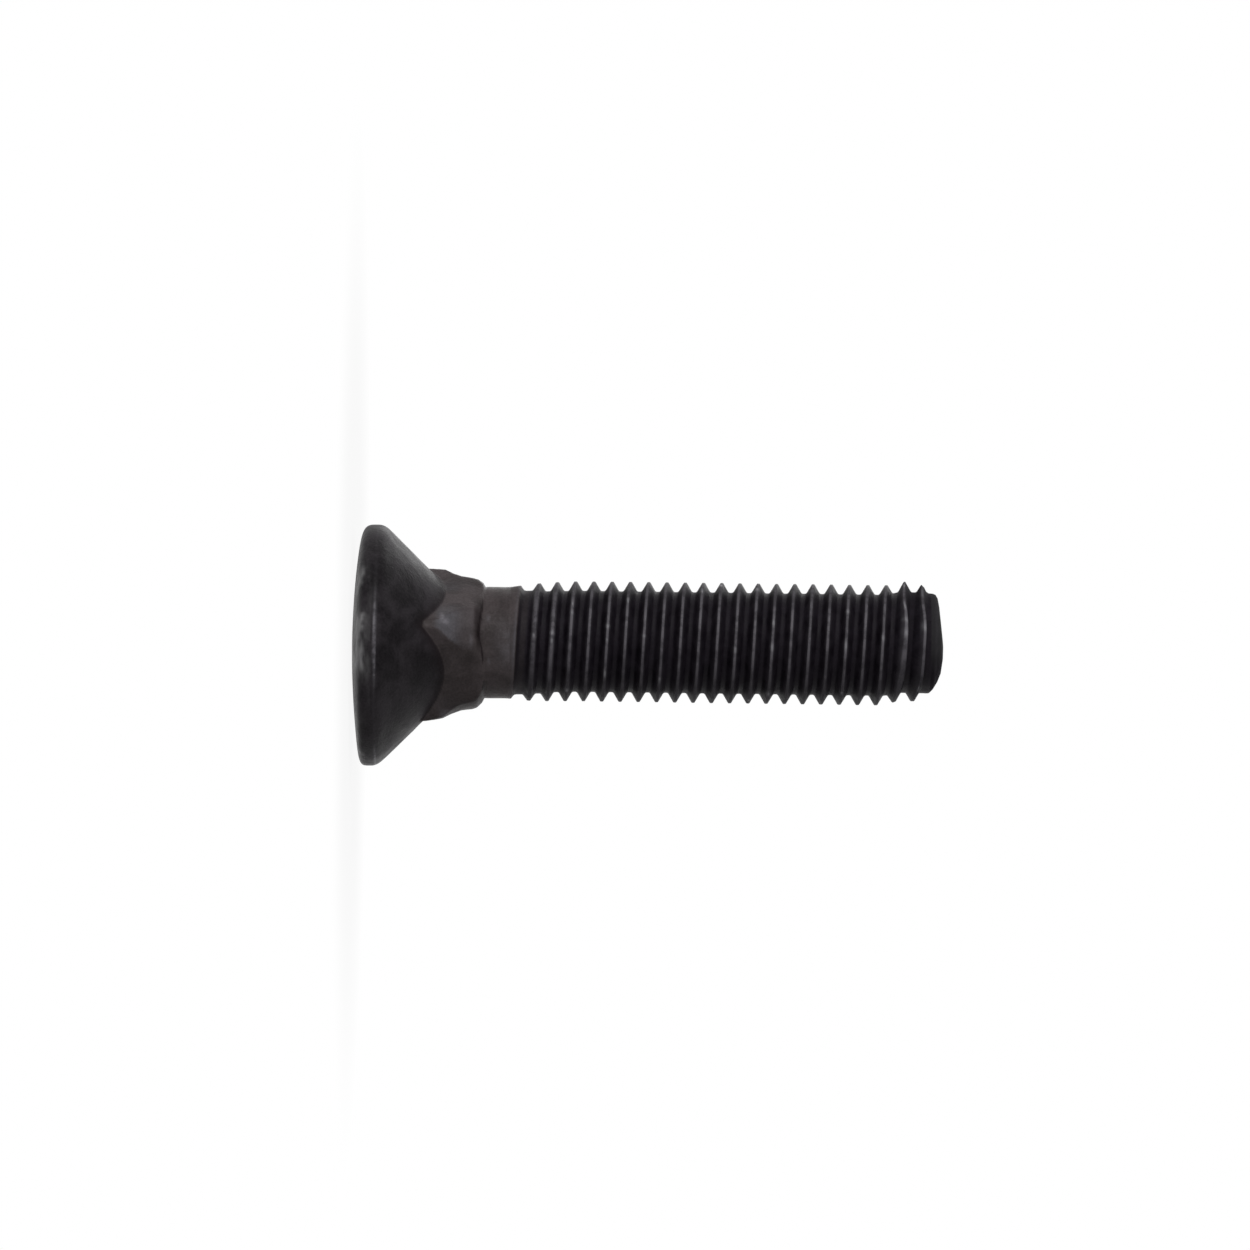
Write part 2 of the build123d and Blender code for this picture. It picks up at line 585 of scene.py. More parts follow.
# Turn, and angle in degrees.
HARD_KNOCKS = [(0, 232), (1, 229), (2, 210), (4, 224), (5, 196), (6, 233)]
HARD_KNOCKS += [(19, 232), (20, 216), (21, 224)]
FOLDED = 0.55  # how far the last two crests are knocked over
FOLDED_SIDE = math.radians(250)
FOLDED_WIDTH = 0.85  # in radians, either way from that side


def knock(z, angle, radius):
    """Dents the crests and returns the new radius and how much bare metal shows."""
    bare = np.zeros_like(radius)
    places = [(random.randint(*NICKED_TURNS), random.uniform(0, 360)) for _ in range(NICKS)]
    for turn, where in places + HARD_KNOCKS:
        where = math.radians(where)
        middle = THREAD_START + (turn + 1.5 - where / (2 * math.pi)) * PITCH
        across = random.uniform(*NICK_ACROSS)
        along = random.uniform(*NICK_ALONG)
        deep = random.uniform(*NICK_DEPTH)
        round_it = turned(angle, where) * crest_radius
        dent = np.exp(-((round_it / across) ** 2 + ((z - middle) / along) ** 2))
        radius = radius - deep * dent
        bare = np.maximum(bare, dent)
    return radius, bare


def folded_crest(z, angle, radius):
    """How far the last two crests are knocked over towards the end, on one side."""
    last_two = smooth_step(z, 57.9, 58.6) * fade_out(z, 61.2, 61.6)
    near_crest = smooth_step(radius, ROOT_RADIUS + 0.1, ROOT_RADIUS + 0.9)
    return FOLDED * near_crest * last_two * bell(turned(angle, FOLDED_SIDE), FOLDED_WIDTH, 4)


print("nicks", NICKS, "hard knocks", len(HARD_KNOCKS))

# %% [markdown]
# ## The thread's points
# The crests' narrow tops are rubbed, and painted paler as a highlight too, most on one side of
# the bolt. That could be brushed on later, but it is worked out here together with the points,
# because it depends on the same radii: only the narrow top of a crest is touched. The rows reach
# past both ends of the thread, so each point is also marked if it lies below the last plain
# ring or beyond the nose's foot.

# %% Thread points
BRIGHTEST_CRESTS_SIDE = math.radians(228)  # the side where the crests are rubbed and painted as highlights most
CREST_EDGE = 0.385  # where a crest's top begins, in turns from the groove's middle
FIRST_WIDER = 0.06  # how much wider the first crests are rubbed and highlighted
THREAD_ROUGH = 0.03
NOSE_RUN_IN = 0.5  # over which the last turns meet the nose


def crest_wear_and_highlight(z, angle, radius):
    """How much each point of the thread is worn and painted as a highlight."""
    crest = crest_line(z, angle)
    turns = turns_along(z, angle)
    edge = CREST_EDGE - FIRST_WIDER * fade_out(z, 19.0, 26.0)
    share = smooth_step(radius, crest - 0.16, crest - 0.01)  # not below the top
    share = share * smooth_step(np.abs(turns - np.round(turns)), edge, edge + 0.08)
    share = share * smooth_step(z, 18.0, 20.0) * smooth_step(crest, 5.75, 6.1)  # full crests
    return share * side_share(angle, BRIGHTEST_CRESTS_SIDE) ** 3


def thread_points():
    foot = np.full(COLUMNS, THREAD_FOOT)
    nose_radius, top = nose_ring(0.0, phi)
    z = THREAD_START + (rows[:, None] - phi[None, :] / (2 * math.pi) + 1) * PITCH
    below_foot = z <= foot + 1e-6
    above_top = z >= top - 1e-6
    angle = phi[None, :] + 0 * z
    radius = thread_radius(z, angle)
    rub_and_highlight = crest_wear_and_highlight(z, angle, radius)
    crest = crest_line(z, angle)
    on_crest = smooth_step(radius, crest - 0.3, crest)
    radius, bare = knock(z, angle, radius)
    radius = radius + (nose_radius - radius) * smooth_step(z, top - NOSE_RUN_IN, top)
    height = z + folded_crest(z, angle, radius)
    return place(radius, height, THREAD_ROUGH), below_foot, above_top, rub_and_highlight, bare * on_crest


twist, below_foot, above_top, twist_wear_and_highlight, twist_bare = thread_points()
print("thread points", twist.shape[:2], "bare", int((twist_bare > 0.5).sum()))

# %% [markdown]
# ## Joining the rings
# The helical rows are cut off at the plain ring below them and at the nose above them:
# a point beyond a ring becomes the ring's own point in that column, and a face that would
# have no area is left out. That closes the skin without any seam, which a join of three
# meshes and a merge by distance wouldn't do as surely.

# %% Faces
def number_rings(rings, first):
    """Numbers for the points of the rings, a row for each ring."""
    return first + np.arange(len(rings) * COLUMNS).reshape(-1, COLUMNS)


def closed_faces(ring_numbers):
    """Quads between rings that follow each other."""
    faces = []
    for first, second in zip(ring_numbers[:-1], ring_numbers[1:]):
        quads = np.stack([first, np.roll(first, -1), np.roll(second, -1), second], axis=-1)
        faces += quads.tolist()
    return faces


def fan_faces(middle, first, second):
    """Triangles from a middle point to the edges of a ring."""
    return [[middle, start, end] for start, end in zip(first.tolist(), second.tolist())]


def clean_faces(quads):
    """Faces without repeated corners, and without those that have no area."""
    faces = []
    for quad in quads.tolist():
        face = [corner for number, corner in enumerate(quad) if corner != quad[number - 1]]
        if len(face) >= 3 and len(set(face)) == len(face):
            faces.append(face)
    return faces


def helical_faces(numbers, foot_number):
    """Faces of the helical rows. Past its last column, a row goes on a turn earlier."""
    after = np.roll(numbers, -1, axis=1)
    start = np.full(row_step, foot_number)
    after[:, -1] = np.concatenate([start, numbers[:-row_step, 0]])
    quads = np.stack([numbers[:-1], after[:-1], after[1:], numbers[1:]], axis=-1)
    return clean_faces(quads.reshape(-1, 4))


lower_numbers = number_rings(below, 0)
upper_numbers = number_rings(above, lower_numbers.size)
print("ring points", lower_numbers.size, "and", upper_numbers.size)

# %% [markdown]
# ### All points and faces
# The points of the whole skin are numbered once: the rings below the thread, the nose's
# rings, the thread, and last the middles of the crown and of the end. Those two close the
# holes with fans of triangles. One face with 160 corners would close a hole too, but it
# would shade badly on the dome.

# %% All points and faces
END_MIDDLE = 63.17


def join_skin():
    inside = ~(below_foot | above_top)
    first_inside = lower_numbers.size + upper_numbers.size
    numbers = np.zeros(inside.shape, int)
    numbers[inside] = first_inside + np.arange(inside.sum())
    numbers = np.where(below_foot, lower_numbers[-1][None, :], numbers)
    numbers = np.where(above_top, upper_numbers[0][None, :], numbers)
    crown = place(np.zeros(COLUMNS), np.zeros(COLUMNS), 0.0)[:1]
    end = place(np.zeros(COLUMNS), np.full(COLUMNS, END_MIDDLE), 0.0)[:1]
    points = np.concatenate(below + above + [twist[inside], crown, end])
    crown_number, end_number = len(points) - 2, len(points) - 1

    rim, tip = lower_numbers[0], upper_numbers[-1]
    plain_faces = closed_faces(lower_numbers)
    plain_faces += fan_faces(crown_number, np.roll(rim, -1), rim)
    thread_faces = helical_faces(numbers, lower_numbers[-1][0])
    nose_faces = closed_faces(upper_numbers)
    nose_faces += fan_faces(end_number, tip, np.roll(tip, -1))

    rub_and_highlight, bare = np.zeros((2, len(points)))
    rub_and_highlight[first_inside:crown_number] = twist_wear_and_highlight[inside]
    bare[first_inside:crown_number] = twist_bare[inside]
    return points, plain_faces, thread_faces + nose_faces, rub_and_highlight, bare


points, forged_faces, rolled_faces, rub_and_highlight, bare = join_skin()
print("points", len(points), "faces", len(forged_faces), "forged", len(rolled_faces), "rolled")

# %% [markdown]
# ## Two finishes on one skin
# The head kept a dark oxide, while the neck and the shank came out browner. The border
# between them isn't a pattern: it follows the crease where the neck leaves the cone, and
# the lip of the thread's first groove. It could be painted by hand on the mesh. Instead it
# is worked out from the same radii as the form, so that it stays on the crease, and stored
# on the points as a share from 0 to 1 that a material can read.

# %% Neck and shank
EDGE_TURN = 0.57  # how far above THREAD_START the first groove's edge lies, in turns
FIRST_ROOT_SHARE = 0.22  # the first root keeps a little of the shank's brown


def around(points):
    """Height, radius and angle of each point, seen from the bolt's own axis."""
    z = points[:, 2]
    aside = axis_offset(z)
    x = points[:, 0] - aside * math.cos(END_LEAN)
    y = points[:, 1] - aside * math.sin(END_LEAN)
    return z, np.hypot(x, y), np.arctan2(y, x)


def first_edge(angle):
    """Height of the edge between the shank and the first groove, which fades in."""
    round_it = angle % (2 * math.pi)
    fading = fade_out(round_it, 0.0, 1.1)
    return THREAD_START + (EDGE_TURN - round_it / (2 * math.pi) - fading) * PITCH


def beyond_cone(z, angle):
    """How far the neck stands out of the cone. It is 0 along the crease."""
    return neck_radius(z, angle) - cone_radius(z)


def off_cone(z, angle):
    """1 on the neck and everything past it, 0 on the cone."""
    return smooth_step(beyond_cone(z, angle), -0.1, 0.1)


def neck_share(z, angle):
    """1 on the neck and the shank, 0 on the head and from the thread's first groove on."""
    past_edge = z - first_edge(angle)
    first_root = smooth_step(past_edge, 0.3, 0.5) * fade_out(past_edge, 0.8, 1.1)
    plain = off_cone(z, angle) * fade_out(past_edge, -0.08, 0.08)
    return plain + FIRST_ROOT_SHARE * first_root


height, reach, angles = around(points)
wear_and_painted_light = {"bare": bare, "necked": neck_share(height, angles)}
print("neck and shank points", int((wear_and_painted_light["necked"] > 0.5).sum()))

# %% [markdown]
# ## Painted shade
# The crease under the head, the neck's shoulder and the first groove are painted almost black,
# as painted shade where they fall into shadow. A mask from the mesh's hollows would find such
# places too, but it can't tell the shoulder from the thread. So each painted shade has its own
# line on the bolt and falls off beside it. Noise makes the one on the shoulder ragged.

# %% Painted shade
# Strengths of the painted shade: crease, groove's edge, shoulder step, wide shoulder band.
CREASE_SHADE, GROOVE_SHADE, STEP_SHADE, WIDE_SHADE = 0.7, 0.7, 0.85, 0.65
FLATS_END = (12.8, 13.3)  # heights between which the neck's flats end
SHOULDER_HEIGHT = 13.75
WIDE_SHADE_SIDE = math.radians(222)


def painted_shade_share(z, angle):
    """1 where painted shade darkens the crease, the shoulder and the first groove."""
    beyond = beyond_cone(z, angle)
    crease = bell(np.minimum(beyond, 0.0), 0.7) * fade_out(beyond, -0.02, 0.15)
    groove_edge = bell(z - first_edge(angle) - 0.14, 0.1)
    ragged = lumps(6.0 * np.cos(angle), 6.0 * np.sin(angle), z, 0.9, 5)
    step = neck_radius(z - 0.1, angle) - neck_radius(z + 0.1, angle)
    on_step = smooth_step(step * (1 + 0.4 * ragged), 0.2, 0.34) * smooth_step(z, *FLATS_END)
    wide = bell(die_height(z, angle) - SHOULDER_HEIGHT + 0.25 * ragged, 0.5, 4)
    wide = wide * bell(turned(angle, WIDE_SHADE_SIDE), 0.45, 4)
    thin_shades = [CREASE_SHADE * crease, GROOVE_SHADE * groove_edge, STEP_SHADE * on_step]
    return np.maximum.reduce([*thin_shades, WIDE_SHADE * wide])


wear_and_painted_light["painted_shade"] = painted_shade_share(height, angles)
print("stained points", int((wear_and_painted_light["painted_shade"] > 0.5).sum()))

# %% [markdown]
# ## Painted sheen on the neck
# The neck's turned-down corners and part of a flat are painted paler and bluer, as a painted
# sheen where the light falls on them. Their border is the ridge where the round die's circle
# comes inside the square, so it is found where the one radius passes the other. Each corner
# has its own strength, and on one side the painted sheen runs past the ridge onto the flat.

# %% Painted sheen
# Angle in degrees, and how strong the painted sheen is there.
SHEEN_CORNERS = [(45, 0.5), (135, 0.7), (180, 0.5), (225, 0.65), (315, 0.15)]
SHEEN_PAST_RIDGE = 0.6  # how strong the painted sheen is on the flat beside that ridge


def painted_sheen_share(z, angle):
    """1 where a sheen is painted on the turned-down corners of the neck and beside a ridge."""
    turned_down = smooth_step(neck_square(angle) - neck_circle(z, angle), -0.04, 0.06)
    corner = np.zeros_like(z)
    for middle, share in SHEEN_CORNERS:
        away = turned(angle, math.radians(middle))
        past_ridge = SHEEN_PAST_RIDGE * smooth_step(-away, 0.0, 0.15) * bell(away, 0.38, 4)
        near = np.maximum(turned_down * bell(away, 0.5, 4), past_ridge)
        corner = np.maximum(corner, share * near)
    beside_head = smooth_step(z, 8.6, 9.5) * (1 - 0.75 * smooth_step(z, 10.4, 12.2))
    return corner * beside_head * fade_out(z, *FLATS_END) * off_cone(z, angle)


wear_and_painted_light["painted_sheen"] = painted_sheen_share(height, angles)
print("burnished points", int((wear_and_painted_light["painted_sheen"] > 0.5).sum()))

# %% [markdown]
# ## Rubbed edges and painted highlights
# Black oxide wears off first where the bolt is touched: along the rim's edge, on the lip of
# the first groove, on the end and on the crests. The same pale marks are also painted highlights
# where light catches the rim's edge, a corner of the neck, the lip and a patch of the shank.
# Few of these run all the way round. An edge mask would light them all alike, so each place has
# its own side of the bolt. It is given by its angle, its height and its size, and a soft falloff
# keeps it from looking printed on.

# %% Rubbed edges and painted highlights
RIM_EDGE = 2.7  # where the rounding of the rim meets the cone
# Angle in degrees, and half the width in radians.
# On these sides the rim's edge is rubbed, and also painted as a highlight.
RIM_WEAR_AND_HIGHLIGHT = [(237, 0.33), (20, 0.3), (118, 0.25), (318, 0.35)]
RIM_ELSEWHERE = 0.06
# The neck's corner and the shank's patch are painted highlights; the end's edge is rubbed.
CORNER_HIGHLIGHT, END_RUB, SHANK_HIGHLIGHT = 0.35, 0.2, 0.26
END_EDGE_RADIUS = 4.9
LIP_SIDE = math.radians(240)
SHANK_HIGHLIGHT_HEIGHT, SHANK_HIGHLIGHT_SIDE = 16.8, math.radians(243)  # a painted highlight on the shank's lit side
# Small bright places on the neck, the first two a painted highlight on its corner.
# Angle, height, half the angle, half the height, share.
PAINTED_HIGHLIGHTS = [
    (219.5, 9.7, 0.085, 0.22, 1.0),
    (222.5, 10.05, 0.05, 0.42, 1.0),
    (236.0, 12.8, 0.1, 0.2, 0.3),
    (214.0, 14.6, 0.07, 0.25, 0.3),
    (259.0, 14.7, 0.06, 0.2, 0.25),
]


def marked_sides(angle, knocks):
    """1 on the listed sides, each given by its middle and half its width."""
    most = np.zeros_like(angle)
    for middle, width in knocks:
        most = np.maximum(most, bell(turned(angle, math.radians(middle)), width, 4))
    return most


# Painted highlights: bright spots, the first two on the neck's corner.
def painted_highlight_spots(z, angle):
    share = np.zeros_like(z)
    for middle, middle_z, half_angle, half_z, most in PAINTED_HIGHLIGHTS:
        across = turned(angle, math.radians(middle)) / half_angle
        share = np.maximum(share, most * np.exp(-(across**2) - ((z - middle_z) / half_z) ** 2))
    return share


def shank_wear_and_highlight(z, angle):
    """The first groove's lip, worn and partly painted highlight, and a painted highlight on the
    shank.
    """
    past_edge = z - first_edge(angle)
    lip = bell(past_edge + 0.2, 0.16) * (0.25 + 0.55 * bell(turned(angle, LIP_SIDE), 0.35))
    patch = bell(z - SHANK_HIGHLIGHT_HEIGHT, 1.3) * bell(turned(angle, SHANK_HIGHLIGHT_SIDE), 0.38)
    return np.maximum(lip, SHANK_HIGHLIGHT * patch) * fade_out(past_edge, -0.08, 0.0)


# Wear on the rim and the end, with painted highlights on the rim, the neck's corner and the
# shank.
def edge_wear_and_highlights(z, radius, angle):
    # The rim's edge: rubbed, and partly a painted highlight.
    rim = bell(z - RIM_EDGE, 0.13) * smooth_step(radius, 11.9, 12.3)
    rim = rim * (RIM_ELSEWHERE + (1 - RIM_ELSEWHERE) * marked_sides(angle, RIM_WEAR_AND_HIGHLIGHT))
    # Painted highlight on the neck's corner, where it catches the light.
    corner = smooth_step(radius, 7.5, 8.2) * smooth_step(z, 9.2, 9.9) * fade_out(z, 10.2, 11.4)
    end_edge = bell(radius - END_EDGE_RADIUS, 0.35) * smooth_step(z, 62.0, 62.3)
    edges = [rim, CORNER_HIGHLIGHT * corner, END_RUB * end_edge]
    return np.maximum.reduce([*edges, shank_wear_and_highlight(z, angle), painted_highlight_spots(z, angle)])


wear_and_painted_light["rub_and_highlight"] = np.maximum(rub_and_highlight, edge_wear_and_highlights(height, reach, angles))
print("rubbed points", int((wear_and_painted_light["rub_and_highlight"] > 0.5).sum()))

# %% [markdown]
# ## Scuffs on the crown's edge
# The bolt slides on the edge of its crown, so light scuffs lie in a band there. A stencil
# of scratches would need an image file. Blotchy noise does the same: the scuffs end
# raggedly, so both their strength and the height where the band ends are moved up and down
# by it.

# %% Scuffed band
# Angle in degrees, and half the width in radians.
CROWN_SCUFFS = [(238.5, 0.25), (203, 0.1), (20, 0.3), (118, 0.25), (318, 0.35)]
RIM_SCUFFS = [(255, 0.2)]
MOST_SCUFFED = math.radians(238.5)


def scuffed_share(points, z, radius, angle):
    x, y = points[:, 0], points[:, 1]
    blotch = lumps(x, y, z, 1.7, 7) + 0.6 * lumps(x, y, z, 0.7, 9)
    ragged = lumps(x, y, z, 1.1, 8) + 0.7 * lumps(x, y, z, 0.5, 10)
    most = marked_sides(angle, CROWN_SCUFFS)
    most = most * (0.55 + 0.45 * smooth_step(np.cos(angle - MOST_SCUFFED), 0.8, 0.95))
    on_crown = 0.2 + most * (0.6 + 0.35 * blotch)
    on_rim = 0.14 + 0.1 * most + 0.1 * marked_sides(angle, RIM_SCUFFS)
    outer = smooth_step(z + 0.35 * ragged, 1.05, 1.8)
    share = (1 - outer) * on_crown + outer * on_rim
    return share * smooth_step(radius, 10.0, 11.6) * fade_out(z, 2.3, 2.6)


wear_and_painted_light["scuffed"] = scuffed_share(points, height, reach, angles)
print("scuffed points", int((wear_and_painted_light["scuffed"] > 0.5).sum()))

# %% [markdown]
# ## The sheared end
# The bar was sheared to length after its thread was rolled, so on the side that kept its
# shoulder the end is a plain grey cut and not black oxide. The cut has no gloss, and the
# last turns beside it lost theirs too. A piece of its own for the end would show a seam,
# so these are two more values on the points.

# %% Sheared end
NOSE_EDGE = 61.65  # height where the nose begins
CUT_SIDE = END_LEAN + 0.35
LAST_TURNS_DULL = 0.6  # how much of their gloss the last turns lost


def sheared_share(z, angle):
    cut = smooth_step(side_share(angle, CUT_SIDE), 0.3, 0.65)
    return cut * smooth_step(z, NOSE_EDGE, NOSE_EDGE + 0.2)


def dull_share(z, angle):
    """1 on the end, and partly on the last turns on the side that was sheared."""
    last_turns = LAST_TURNS_DULL * side_share(angle, END_LEAN) * smooth_step(z, 57.5, 59.5)
    return np.maximum(last_turns, smooth_step(z, NOSE_EDGE, NOSE_EDGE + 0.25))


wear_and_painted_light["sheared"] = sheared_share(height, angles)
wear_and_painted_light["dull"] = dull_share(height, angles)
print("sheared points", int((wear_and_painted_light["sheared"] > 0.5).sum()))

# %% [markdown]
# ## The bolt as a mesh
# Now the points and faces become one mesh, in metres, with every kind of wear and painted
# light stored on its points. It could be built with mesh operators one step at a time, but the
# lists are ready and go in at once. The first faces take the forged finish and the rest the
# rolled one.
# The skin replaces the plain solid and rides the part's root.

# %% Bolt skin
def add_skin():
    mesh = bpy.data.meshes.new("bolt_skin")
    mesh.from_pydata((points * MM).tolist(), [], forged_faces + rolled_faces)
    for name, values in wear_and_painted_light.items():
        layer = mesh.attributes.new(name=name, type="FLOAT", domain="POINT")
        layer.data.foreach_set("value", values.astype(np.float32))
    finish = [0] * len(forged_faces) + [1] * len(rolled_faces)
    mesh.polygons.foreach_set("material_index", finish)
    mesh.polygons.foreach_set("use_smooth", [True] * len(finish))
    mended = mesh.validate(verbose=False)
    skin = bpy.data.objects.new("bolt_skin", mesh)
    bpy.context.scene.collection.objects.link(skin)
    mesh.calc_loop_triangles()
    print("triangles", len(mesh.loop_triangles), "mended", mended)
    return skin


bolt_skin = add_skin()
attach(bolt_skin, "root")
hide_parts("plow_bolt")

# %% [markdown]
# ## Node groups
# Both finishes are black oxide, once on forged skin and once on a rolled thread. What they
# share is built once as node groups: the mottled oxide, and the places where it is rubbed
# thin or painted with highlights. Two materials with all their nodes would work as well, but
# a change would have to be made twice. The scuffs get a third group, which keeps the head's
# material readable. A group gives only colours, masks and values. The shader stays in each
# material. A few helpers keep the wiring short.

# %% Node helpers
COLOUR, NUMBER = "NodeSocketColor", "NodeSocketFloat"
MIX_FIRST, MIX_SECOND, MIX_RESULT = 6, 7, 2  # the colour sockets of a Mix node


def feed(tree, socket, value):
    """Links a socket to another one, or sets it to a number or a colour."""
    if isinstance(value, bpy.types.NodeSocket):
        tree.links.new(value, socket)
    else:
        socket.default_value = value


def new_group(name, inputs, outputs):
    group = bpy.data.node_groups.new(name, "ShaderNodeTree")
    for socket, kind, value in inputs:
        made = group.interface.new_socket(socket, in_out="INPUT", socket_type=kind)
        made.default_value = value
    for socket, kind in outputs:
        group.interface.new_socket(socket, in_out="OUTPUT", socket_type=kind)
    return group, group.nodes.new("NodeGroupInput"), group.nodes.new("NodeGroupOutput")


def add_noise(tree, scale, detail, roughness, distortion=0.0, where=None):
    """A noise texture, in the bolt's own coordinates unless where gives others."""
    if where is None:
        where = tree.nodes.new("ShaderNodeTexCoord").outputs["Object"]
    texture = tree.nodes.new("ShaderNodeTexNoise")
    texture.inputs["Detail"].default_value = detail
    texture.inputs["Roughness"].default_value = roughness
    texture.inputs["Distortion"].default_value = distortion
    tree.links.new(where, texture.inputs["Vector"])
    feed(tree, texture.inputs["Scale"], scale)
    return texture.outputs["Fac"]


def add_range(tree, value, low, high, to_low=0.0, to_high=1.0):
    """Spreads a value between low and high over to_low and to_high, smoothly."""
    spread = tree.nodes.new("ShaderNodeMapRange")
    spread.interpolation_type = "SMOOTHSTEP"
    tree.links.new(value, spread.inputs["Value"])
    ends = {"From Min": low, "From Max": high, "To Min": to_low, "To Max": to_high}
    for socket, end in ends.items():
        feed(tree, spread.inputs[socket], end)
    return spread.outputs["Result"]


def add_math(tree, operation, first, second):
    node = tree.nodes.new("ShaderNodeMath")
    node.operation = operation
    feed(tree, node.inputs[0], first)
    feed(tree, node.inputs[1], second)
    return node.outputs["Value"]


def add_mix(tree, share, first, second):
    """Mixes two colours."""
    node = tree.nodes.new("ShaderNodeMix")
    node.data_type = "RGBA"
    feed(tree, node.inputs["Factor"], share)
    feed(tree, node.inputs[MIX_FIRST], first)
    feed(tree, node.inputs[MIX_SECOND], second)
    return node.outputs[MIX_RESULT]


def rgb(red, green, blue):
    return (red, green, blue, 1.0)


print("sockets are", COLOUR, "or", NUMBER)

# %% [markdown]
# ### Mottled oxide
# Black oxide on forged steel isn't one colour. Scale, oil and the bath leave patches a few
# millimetres across that differ a little in colour and in gloss, over a fine grain. One
# noise with a lot of detail looks like dirt, so the patches and the grain are two noises,
# three parts to one, between a dark and a light colour. Gloss follows the patches.

# %% Mottled oxide group
PATCH_PART = 0.75


def build_oxide():
    inputs = [
        ("Dark", COLOUR, rgb(0.02, 0.02, 0.02)),
        ("Light", COLOUR, rgb(0.05, 0.05, 0.05)),
        ("Patch Scale", NUMBER, 400.0),
        ("Grain Scale", NUMBER, 4000.0),
        ("Gloss", NUMBER, 0.46),
        ("Dull", NUMBER, 0.62),
    ]
    outputs = [("Color", COLOUR), ("Roughness", NUMBER), ("Height", NUMBER)]
    group, start, end = new_group("mottled_oxide", inputs, outputs)
    given = start.outputs
    patch_scale, grain_scale = given["Patch Scale"], given["Grain Scale"]
    patches = add_noise(group, patch_scale, detail=5.0, roughness=0.6, distortion=0.4)
    grain = add_noise(group, grain_scale, detail=3.0, roughness=0.55)
    patch_share = add_range(group, patches, 0.34, 0.68)
    grain_share = add_range(group, grain, 0.3, 0.72)
    patch_part = add_math(group, "MULTIPLY", patch_share, PATCH_PART)
    grain_part = add_math(group, "MULTIPLY", grain_share, 1 - PATCH_PART)
    share = add_math(group, "ADD", patch_part, grain_part)
    colour = add_mix(group, share, given["Dark"], given["Light"])
    rough = add_range(group, patches, 0.3, 0.7, given["Gloss"], given["Dull"])
    group.links.new(colour, end.inputs["Color"])
    group.links.new(rough, end.inputs["Roughness"])
    group.links.new(share, end.inputs["Height"])
    return group


oxide_group = build_oxide()
print("group", oxide_group.name, "sockets", len(oxide_group.interface.items_tree))

# %% [markdown]
# ### Rubbed places and painted highlights
# Where oxide is rubbed, grey steel shows through it in broken streaks, never as an even
# line. The same grey also paints highlights on crests, corners and edges. The value stored on
# the points says how much a place is rubbed or painted, but it changes only from point to
# point. A noise inside the group breaks it up into finer marks than the mesh could hold.

# %% Rubbed and painted highlight group
def build_wear_highlight():
    inputs = [
        ("Color", COLOUR, rgb(0.03, 0.03, 0.03)),
        ("Roughness", NUMBER, 0.45),
        ("Bare", COLOUR, rgb(0.12, 0.12, 0.13)),
        ("Amount", NUMBER, 0.0),
        ("Breakup Scale", NUMBER, 1500.0),
        ("Bare Roughness", NUMBER, 0.35),
        ("Least", NUMBER, 0.2),
    ]
    outputs = [("Color", COLOUR), ("Roughness", NUMBER)]
    group, start, end = new_group("worn_and_highlit_oxide", inputs, outputs)
    given = start.outputs
    breakup = add_noise(group, given["Breakup Scale"], detail=4.0, roughness=0.65)
    keep = add_range(group, breakup, 0.36, 0.58, given["Least"], 1.0)
    mask = add_math(group, "MULTIPLY", given["Amount"], keep)
    colour = add_mix(group, mask, given["Color"], given["Bare"])
    rough = add_range(group, mask, 0.0, 1.0, given["Roughness"], given["Bare Roughness"])
    group.links.new(colour, end.inputs["Color"])
    group.links.new(rough, end.inputs["Roughness"])
    return group


wear_highlight_group = build_wear_highlight()
print("group", wear_highlight_group.name, "sockets", len(wear_highlight_group.interface.items_tree))

# %% [markdown]
# ### Scuffs
# The dome's edge slides over other steel, which leaves light scuffs. They are short streaks
# that run round the head. A noise stretched along the rim gives them: it changes slowly
# with x and y and fast with height.

# %% Scuffs group
def build_scuffs():
    inputs = [
        ("Amount", NUMBER, 0.0),
        ("Along", NUMBER, 200.0),
        ("Across", NUMBER, 700.0),
        ("Cover", NUMBER, 0.5),
    ]
    group, start, end = new_group("rim_scuffs", inputs, [("Mask", NUMBER)])
    given = start.outputs
    where = group.nodes.new("ShaderNodeTexCoord")
    parts = group.nodes.new("ShaderNodeSeparateXYZ")
    joined = group.nodes.new("ShaderNodeCombineXYZ")
    group.links.new(where.outputs["Object"], parts.inputs["Vector"])
    for axis, scale in (("X", "Along"), ("Y", "Along"), ("Z", "Across")):
        stretched = add_math(group, "MULTIPLY", parts.outputs[axis], given[scale])
        group.links.new(stretched, joined.inputs[axis])
    stretched_place = joined.outputs["Vector"]
    streaks = add_noise(group, 1.0, detail=4.0, roughness=0.6, where=stretched_place)
    cover = add_math(group, "MULTIPLY", given["Amount"], given["Cover"])
    broken = add_math(group, "MULTIPLY", streaks, 0.6)
    shown = add_range(group, add_math(group, "ADD", broken, cover), 0.33, 0.72)
    scuffed = add_range(group, given["Amount"], 0.0, 0.6)
    group.links.new(add_math(group, "MULTIPLY", shown, scuffed), end.inputs["Mask"])
    return group


scuffs_group = build_scuffs()
print("group", scuffs_group.name, "sockets", len(scuffs_group.interface.items_tree))

# %% [markdown]
# ## Black steel
# Black oxide is a thin dark skin that reflects little when looked at squarely and much more
# at a glancing angle. It could be a metal with a dark colour, but that would mirror a white
# room all over. So it is a dark base, not metallic, under a weak, soft gloss.

# %% Material helpers
def read_point(tree, name):
    """The value of that name that is stored on the bolt's points."""
    node = tree.nodes.new("ShaderNodeAttribute")
    node.attribute_name = name
    return node.outputs["Fac"]


